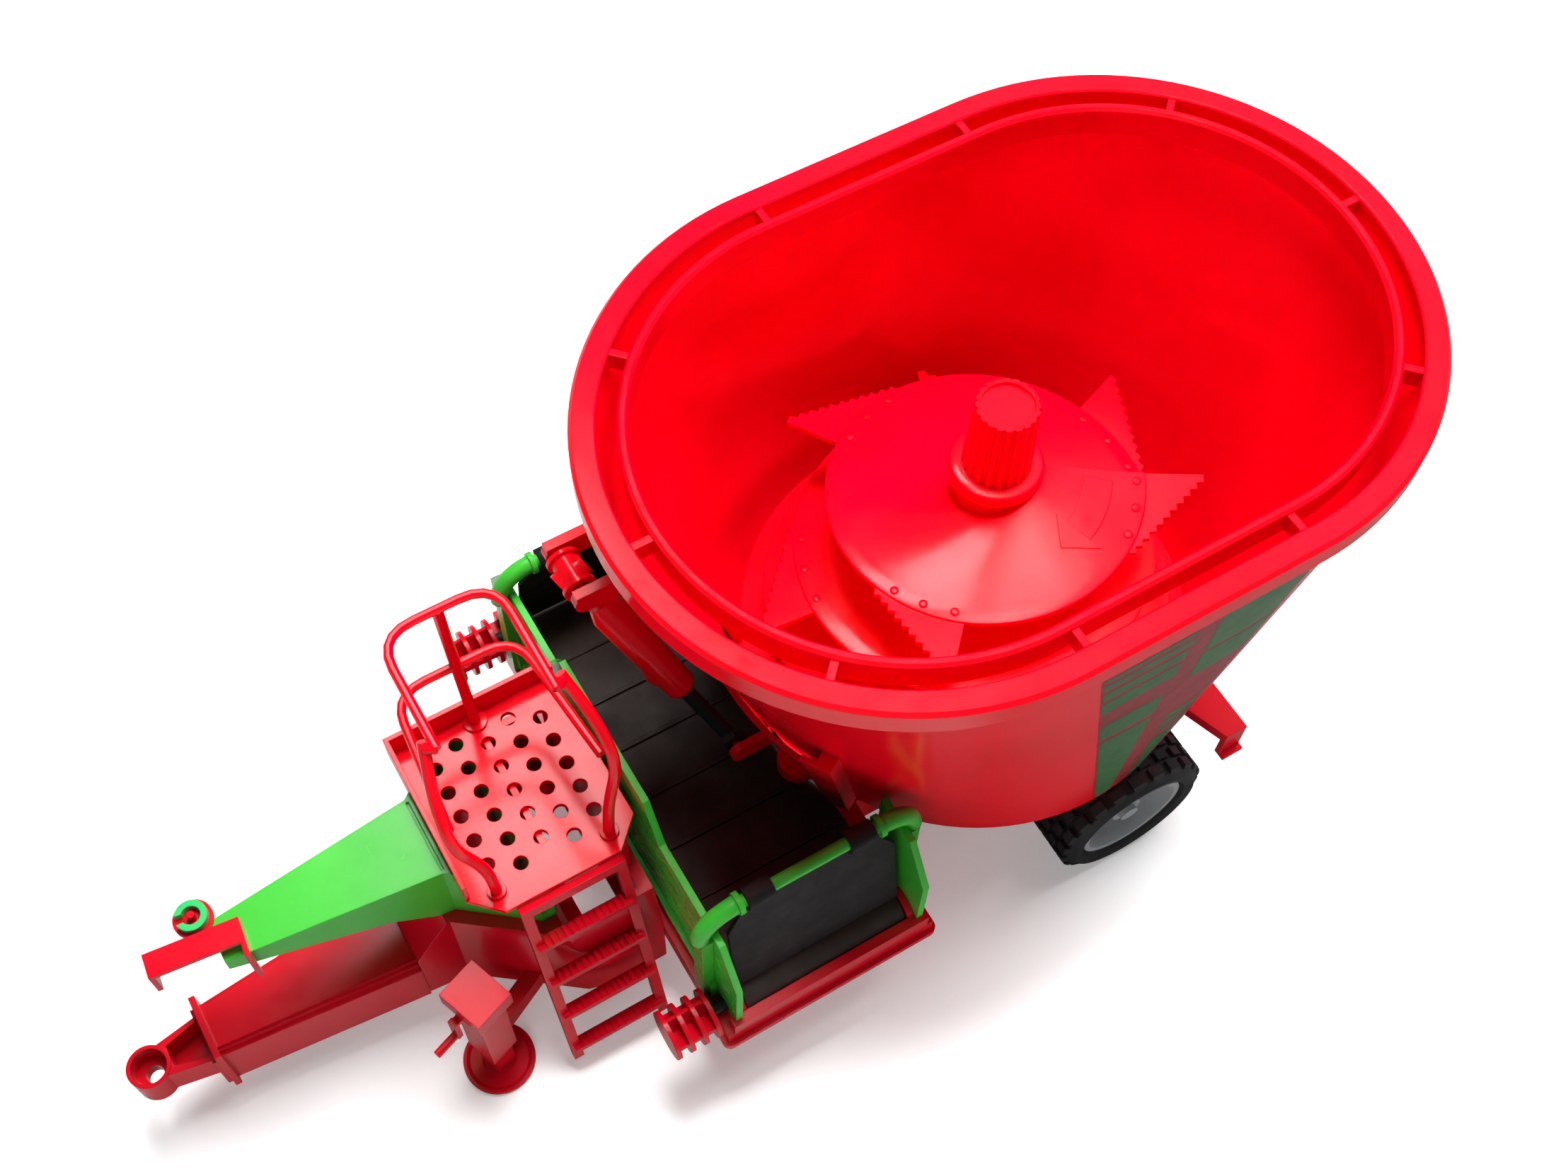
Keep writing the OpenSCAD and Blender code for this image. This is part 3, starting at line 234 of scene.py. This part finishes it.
FLIGHT_START, FLIGHT_TURNS, FLIGHT_PITCH = 150.0, 2.7, 26.0  # the start is in degrees
FLIGHT_TOP_R, FLIGHT_LOW_R, FLIGHT_TOP_Z = 41.0, 63.0, 131.0
FLIGHT_T, FLIGHT_DISH, DISH_CURVE = 1.8, 5.0, 1.25
FLIGHT_EDGE, EDGE_SOFT = 0.5, 0.12  # the rounding of the flight's rim, and its first step
TURN_STEPS, FLIGHT_CUTS = 72, 9
CORE_R, CORE_OVERLAP = 11.5, 2
KNIVES, KNIFE_STEP, KNIFE_OUT, KNIFE_REACH, KNIFE_T = 7, 103.0, 16.0, 68.5, 1.6  # the step is in degrees
KNIFE_SPAN, KNIFE_TURN = 33.0, 1  # degrees
KNIFE_TEETH, TOOTH_OUT, TOOTH_START, TOOTH_PEAK = 11, 1.3, 0.1, 0.6
KNIFE_ROOT, KNIFE_SHOULDER, KNIFE_SUNK = 4, 3, 0.7
HUB = [(5.0, 50.0), (5.0, 54.3), (16.5, 54.3), (16.5, 55.8), (13.5, 57.4), (12.0, 60.0), (11.5, 63.0),
       (11.5, 100.0), (11.5, 131.2), (12.0, 132.2), (12.8, 132.8), (13.0, 133.3), (13.0, 135.9),
       (12.7, 136.6), (12.1, 137.0), (9.0, 137.0)]
RIVET_SPOTS = ((4.0, 2.6), (16.0, 2.4), (28.0, 2.2))  # degrees behind the knife, and mm in from the rim
RIVET_R, RIVET_H = 1.25, 0.5
ARROW_START, ARROW_SPAN, ARROW_STEPS = 6.0, 34.0, 26  # degrees
ARROW_SUNK, ARROW_H = -0.1, 0.32
ARROW_BAND = ((24.0, ARROW_SUNK), (24.2, ARROW_H), (31.8, ARROW_H), (32.0, ARROW_SUNK))
ARROW_HEAD = ((40.0, 35.5), (54.0, 28.0), (40.0, 20.5))  # degrees, and mm from the axis


def polar(r, degrees, z):
    return at(r * math.cos(math.radians(degrees)), r * math.sin(math.radians(degrees)), z)


def flight_r(t):
    """The flight's rim, t turns from its upper end."""
    return FLIGHT_TOP_R + (FLIGHT_LOW_R - FLIGHT_TOP_R) * t / FLIGHT_TURNS


def flight_point(t, r, lift=0.0):
    """A point on the flight's upper face after t turns, r from the axis; the dish steepens inwards."""
    inward = (flight_r(t) - r) / (flight_r(t) - CORE_R + CORE_OVERLAP)
    z = FLIGHT_TOP_Z - FLIGHT_PITCH * t + FLIGHT_DISH * max(inward, 0.0) ** DISH_CURVE
    return polar(r, FLIGHT_START - 360 * t, z + lift)


def flight_mesh():
    turns, inner_r = int(FLIGHT_TURNS * TURN_STEPS), CORE_R - CORE_OVERLAP
    verts, faces = [], []
    for i in range(turns + 1):
        t = FLIGHT_TURNS * i / turns
        edge = flight_r(t)
        reach = edge - FLIGHT_EDGE - CORE_R + CORE_OVERLAP
        verts += [flight_point(t, inner_r + reach * k / FLIGHT_CUTS) for k in range(FLIGHT_CUTS + 1)]
        verts += [flight_point(t, r, lift) for r, lift in (
            (edge - EDGE_SOFT, -EDGE_SOFT), (edge, -FLIGHT_EDGE), (edge, FLIGHT_EDGE - FLIGHT_T),
            (edge - FLIGHT_EDGE, -FLIGHT_T), (inner_r, -FLIGHT_T))]
    n = FLIGHT_CUTS + 6
    for i in range(turns):
        for k in range(n):
            a, b = i * n + k, i * n + (k + 1) % n
            faces.append((a, a + n, b + n, b))
    faces.append(tuple(range(n)))
    faces.append(tuple(turns * n + k for k in reversed(range(n))))
    return verts, faces


def ring_faces(rings, steps):
    """The walls between rings of steps points each."""
    faces = []
    for j in range(rings - 1):
        for k in range(steps):
            a, b = j * steps + k, j * steps + (k + 1) % steps
            faces.append((a, b, b + steps, a + steps))
    return faces


def revolve(profile, steps=TURN_STEPS):
    """A closed solid turned about the auger's axis, from (radius, z) pairs, lowest first."""
    verts = []
    for r, z in profile:
        for k in range(steps):
            a = 2 * math.pi * k / steps
            verts.append(at(r * math.cos(a), r * math.sin(a), z))
    faces = ring_faces(len(profile), steps)
    faces.append(tuple(reversed(range(steps))))
    faces.append(tuple((len(profile) - 1) * steps + k for k in range(steps)))
    return verts, faces


def ray(degrees):
    return Vector((math.cos(math.radians(degrees)), math.sin(math.radians(degrees))))


def knife_mesh(k):
    """Knife k: a serrated blade that lies under the flight's rim and follows its pitch."""
    t = KNIFE_STEP * k / 360
    r = flight_r(t)
    tip = Vector((min(r + KNIFE_OUT, KNIFE_REACH), 1.0))
    heel = ray(-KNIFE_SPAN) * (r + 1)
    edge = heel - tip
    out = Vector((-edge.y, edge.x)).normalized()
    plan = [ray(-KNIFE_SPAN * part / 4) * (r - KNIFE_ROOT) for part in (4, 3, 2, 1, 0)]
    plan += [Vector((r - KNIFE_SHOULDER, 1.0)), tip]
    for i in range(KNIFE_TEETH):
        plan += [tip + edge * ((i + TOOTH_START) / KNIFE_TEETH),
                 tip + edge * ((i + TOOTH_PEAK) / KNIFE_TEETH) + out * TOOTH_OUT]
    plan.append(heel)
    tilt = Matrix.Rotation(math.atan(FLIGHT_PITCH / (2 * math.pi * r)), 3, "X")
    spin = Matrix.Rotation(math.radians(FLIGHT_START - KNIFE_STEP * k - KNIFE_TURN), 3, "Z")
    base = FLIGHT_TOP_Z - FLIGHT_PITCH * t - KNIFE_SUNK - KNIFE_T
    verts = []
    for h in (0.0, KNIFE_T):
        for p in plan:
            q = spin @ (tilt @ Vector((p.x, p.y, h)))
            verts.append(at(q.x, q.y, q.z + base))
    n = len(plan)
    faces = [tuple(reversed(range(n))), tuple(range(n, 2 * n))]
    faces += [(a, (a + 1) % n, (a + 1) % n + n, a + n) for a in range(n)]
    return verts, faces


def stud(place, normal, r, h, steps=16):
    """A low domed rivet head on a surface point."""
    normal = normal.normalized()
    side = normal.orthogonal().normalized()
    other = normal.cross(side)
    verts = []
    rings = ((1.0, -0.3), (1.0, 0.45), (0.8, 0.85), (0.4, 1.0))
    for scale, lift in rings:
        for k in range(steps):
            a = 2 * math.pi * k / steps
            spoke = side * math.cos(a) + other * math.sin(a)
            verts.append(place + spoke * r * scale * MM + normal * h * lift * MM)
    faces = ring_faces(len(rings), steps)
    faces.append(tuple((len(rings) - 1) * steps + k for k in range(steps)))
    faces.append(tuple(reversed(range(steps))))
    return verts, faces


def merge(*shapes):
    """Several shapes as one."""
    verts, faces = [], []
    for v, f in shapes:
        base = len(verts)
        verts += list(v)
        faces += [tuple(i + base for i in face) for face in f]
    return verts, faces


knives = [knife_mesh(k) for k in range(KNIVES)]
auger = piece("auger_dressed", *merge(flight_mesh(), revolve(HUB), *knives), RED, "auger", smooth=False)
soften(auger, AUGER_FOLD)
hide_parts("auger")

rivets = []
for k in range(KNIVES):
    for degrees, inset in RIVET_SPOTS:
        t = KNIFE_STEP * k / 360 + degrees / 360
        r = flight_r(t) - inset
        p = flight_point(t, r)
        n = (flight_point(t, r - 1) - p).cross(flight_point(t + 0.003, r) - p)
        rivets.append(stud(p, n if n.z > 0 else -n, RIVET_R, RIVET_H))
piece("auger_rivets", *merge(*rivets), RED, "auger")


def arrow_mesh():
    """The raised turning arrow near the start of the top flight."""
    verts, faces = [], []
    for i in range(ARROW_STEPS + 1):
        t = (ARROW_START + ARROW_SPAN * i / ARROW_STEPS) / 360
        for r, lift in ARROW_BAND:
            verts.append(flight_point(t, r, lift))
    for i in range(ARROW_STEPS):
        for k in range(3):
            a = i * 4 + k
            faces.append((a, a + 4, a + 5, a + 1))
    faces.append((0, 1, 2, 3))
    base = len(verts)
    for lift in (ARROW_SUNK, ARROW_H):
        for degrees, r in ARROW_HEAD:
            verts.append(flight_point(degrees / 360, r, lift))
    faces += [(base, base + 1, base + 4, base + 3), (base + 1, base + 2, base + 5, base + 4),
              (base + 2, base, base + 3, base + 5), (base + 5, base + 4, base + 3)]
    return verts, faces


piece("auger_arrow", *arrow_mesh(), RED, "auger", smooth=False)


# Printed stripes on both sides of the tub

PRINT_MID = -7.7
PRINT_LOW_EDGE, PRINT_LEAN, PRINT_EDGE_Z, PRINT_EDGE_H = 1.0, 23.8, 55.0, 108.0
FRONT_BAND, REAR_BAND = -4.4, -11.2  # the edges of the plain band between the stripes
PRINT_TOP, PRINT_LOW, PRINT_MARGIN = 172.0, 53.0, 0.6
GROUND_OUT, STRIPE_OUT = 0.05, 0.09  # how far the print stands off the wall
STRIPE_CUTS, STRIPE_STEP = 24, 3
FRONT_ROWS = [(163.1, 161.8), (159.6, 157.9), (155.5, 152.2), (149.2, 144.1), (141.6, 133.4),
              (122.0, 110.3), (107.4, 53.6)]
REAR_ROWS = [(171.5, 140.9), (139.3, 124.8), (100.5, 96.6), (94.9, 92.4), (90.8, 89.2),
             (87.6, 86.6), (83.0, 53.6)]


def wall(x, z, side, out=0.0):
    """The tub's outside at x and z on the +Y (side 1) or -Y (side -1) half, out mm off the wall."""
    t = (z - TUB_BOTTOM_Z) / (TUB_TOP_Z - TUB_BOTTOM_Z)
    r = TUB_BOTTOM_R + (TUB_TOP_R - TUB_BOTTOM_R) * t + out
    reach = RIM_HALF * t
    over = max(0.0, abs(x) - reach)
    return at(x, side * math.sqrt(max(r * r - over * over, 0.0)), z)


def stripe(name, corners, side, mat, out):
    """A printed area on the tub's wall: corners are (x, z) from top left, clockwise."""
    (ax, az), (bx, bz), (cx, cz), (dx, dz) = corners
    nu, nv = STRIPE_CUTS, max(2, int(abs(az - dz) / STRIPE_STEP))
    verts, faces = [], []
    for j in range(nv + 1):
        v = j / nv
        for i in range(nu + 1):
            u = i / nu
            top = (ax + (bx - ax) * u, az + (bz - az) * u)
            low = (dx + (cx - dx) * u, dz + (cz - dz) * u)
            x, z = (top[n] + (low[n] - top[n]) * v for n in (0, 1))
            verts.append(wall(x, z, side, out))
    for j in range(nv):
        for i in range(nu):
            a = j * (nu + 1) + i
            quad = (a, a + 1, a + nu + 2, a + nu + 1)
            faces.append(quad if side > 0 else quad[::-1])
    piece(name, verts, faces, mat, "wagon")


def print_edge(z, front):
    """The slanting outer edge of the print at z, on its front or its rear half."""
    edge = PRINT_LOW_EDGE + PRINT_LEAN * (z - PRINT_EDGE_Z) / PRINT_EDGE_H
    return edge if front else 2 * PRINT_MID - edge


for side, tag in ((1, "left"), (-1, "right")):
    corners = [(print_edge(z, front) + (PRINT_MARGIN if front else -PRINT_MARGIN), z)
               for z, front in ((PRINT_TOP, True), (PRINT_TOP, False), (PRINT_LOW, False), (PRINT_LOW, True))]
    stripe(f"print_ground_{tag}", corners, side, PRINT_RED, GROUND_OUT)
    for half, band, rows in (("front", FRONT_BAND, FRONT_ROWS), ("rear", REAR_BAND, REAR_ROWS)):
        for k, (high, low) in enumerate(rows):
            corners = [(print_edge(high, half == "front"), high), (band, high), (band, low),
                       (print_edge(low, half == "front"), low)]
            stripe(f"print_{tag}_{half}_{k}", corners, side, PRINT_GREEN, STRIPE_OUT)

# Studio, in metres: a white sweep, a small softbox that shines in the level faces, and soft lights.
# Glossy surfaces see the room darker than the camera does, and the paper painted darker: painted shade in
# their reflections.

FLOOR_HALF = 3
PAPER_WHITE = 0.95
PAPER_SEEN_FAR, PAPER_SEEN_NEAR, PAPER_FADE = 0.12, 0.35, (-0.05, -0.01)
PAPER_LIFT = 0.22
ROOM_LIGHT, ROOM_SEEN = 0.09, 1.0

floor = bpy.data.meshes.new("studio_floor")
floor.from_pydata([(x * FLOOR_HALF, y * FLOOR_HALF, 0) for x, y in ((-1, -1), (1, -1), (1, 1), (-1, 1))],
                  [], [(0, 1, 2, 3)])
floor_obj = bpy.data.objects.new("studio_floor", floor)
bpy.context.scene.collection.objects.link(floor_obj)
paper, paper_tree, paper_bsdf = shader("studio_paper", (PAPER_WHITE,) * 3, 0.95)
paper_bsdf.inputs["Specular IOR Level"].default_value = 0.0
paper_bsdf.inputs["Emission Color"].default_value = (1, 1, 1, 1)
path = paper_tree.nodes.new("ShaderNodeLightPath")
place = paper_tree.nodes.new("ShaderNodeNewGeometry")
parts = paper_tree.nodes.new("ShaderNodeSeparateXYZ")
paper_tree.links.new(place.outputs["Position"], parts.inputs["Vector"])
# Painted shade in reflections: glossy rays see the paper at 0.12 below x = -0.05 m, rising to 0.35 above x =
# -0.01 m.
paper_reflected_shade = spread(paper_tree, parts.outputs["X"], PAPER_SEEN_FAR, PAPER_SEEN_NEAR, *PAPER_FADE)
tint = paper_tree.nodes.new("ShaderNodeMix")
tint.data_type = "RGBA"
tint.inputs[6].default_value = (PAPER_WHITE, PAPER_WHITE, PAPER_WHITE, 1)
paper_tree.links.new(path.outputs["Is Glossy Ray"], tint.inputs[0])
shade = paper_tree.nodes.new("ShaderNodeCombineColor")
for channel in ("Red", "Green", "Blue"):
    paper_tree.links.new(paper_reflected_shade, shade.inputs[channel])
paper_tree.links.new(shade.outputs["Color"], tint.inputs[7])
paper_tree.links.new(tint.outputs[2], paper_bsdf.inputs["Base Color"])
seen = spread(paper_tree, path.outputs["Is Camera Ray"], 0.0, PAPER_LIFT, 0.0, 1.0)
paper_tree.links.new(seen, paper_bsdf.inputs["Emission Strength"])
floor.materials.append(paper)

world = bpy.data.worlds.new("studio_world")
world.use_nodes = True
room = world.node_tree
room.nodes["Background"].inputs["Color"].default_value = (1, 1, 1, 1)
sky = room.nodes.new("ShaderNodeLightPath")
light_level = spread(room, sky.outputs["Is Camera Ray"], ROOM_LIGHT, ROOM_SEEN, 0.0, 1.0)
room.links.new(light_level, room.nodes["Background"].inputs["Strength"])
bpy.context.scene.world = world


def softbox(name, place, aim, size, power, shines=True, cone=180):
    """An area light; where it doesn't shine, it lights surfaces without showing in their gloss."""
    light = bpy.data.lights.new(name, "AREA")
    light.spread = math.radians(cone)
    light.shape = "RECTANGLE"
    light.size, light.size_y = size
    light.energy = power
    obj = bpy.data.objects.new(name, light)
    obj.location = place
    obj.rotation_euler = (Vector(aim) - Vector(place)).to_track_quat("-Z", "Y").to_euler()
    obj.visible_glossy = shines
    bpy.context.scene.collection.objects.link(obj)


softbox("gloss_box", (-0.04, -0.49, 1.15), (0.0, 0.0, 0.08), (0.24, 0.27), 1.5)
softbox("wide_light", (-0.75, -0.35, 1.5), (0.0, 0.0, 0.08), (1.2, 1.2), 54, False)
softbox("front_light", (0.9, 1.3, 1.0), (0.0, 0.0, 0.1), (1.2, 0.8), 6, False)
softbox("tub_light", (-0.1, -0.1, 1.0), (-0.08, 0.0, 0.1), (0.3, 0.25), 0.6, False, 35)

# Camera: solved from the photograph

AZ, EL, ROLL = (math.radians(a) for a in (212.712, 59.912, 2.483))
FOCAL_PX, IMAGE_W = 2647.1, 2216
CAMERA_AT = (198.3, 206.7, 550.9)
SENSOR = 36
forward = Vector((math.sin(AZ) * math.cos(EL), math.cos(AZ) * math.cos(EL), -math.sin(EL)))
level = Vector((math.cos(AZ), -math.sin(AZ), 0))
upright = level.cross(forward)
right = level * math.cos(ROLL) + upright * math.sin(ROLL)
up = -level * math.sin(ROLL) + upright * math.cos(ROLL)
camera_data = bpy.data.cameras.new("photo_camera")
camera_data.sensor_width = SENSOR
camera_data.lens = FOCAL_PX * SENSOR / IMAGE_W
camera_data.clip_start, camera_data.clip_end = 0.01, 20
camera = bpy.data.objects.new("photo_camera", camera_data)
turn = Matrix((right, up, -forward)).transposed().to_4x4()
camera.matrix_world = Matrix.Translation(at(*CAMERA_AT)) @ turn
bpy.context.scene.collection.objects.link(camera)
bpy.context.scene.camera = camera
bpy.context.scene.view_settings.view_transform = "Standard"
bpy.context.scene.view_settings.look = "None"
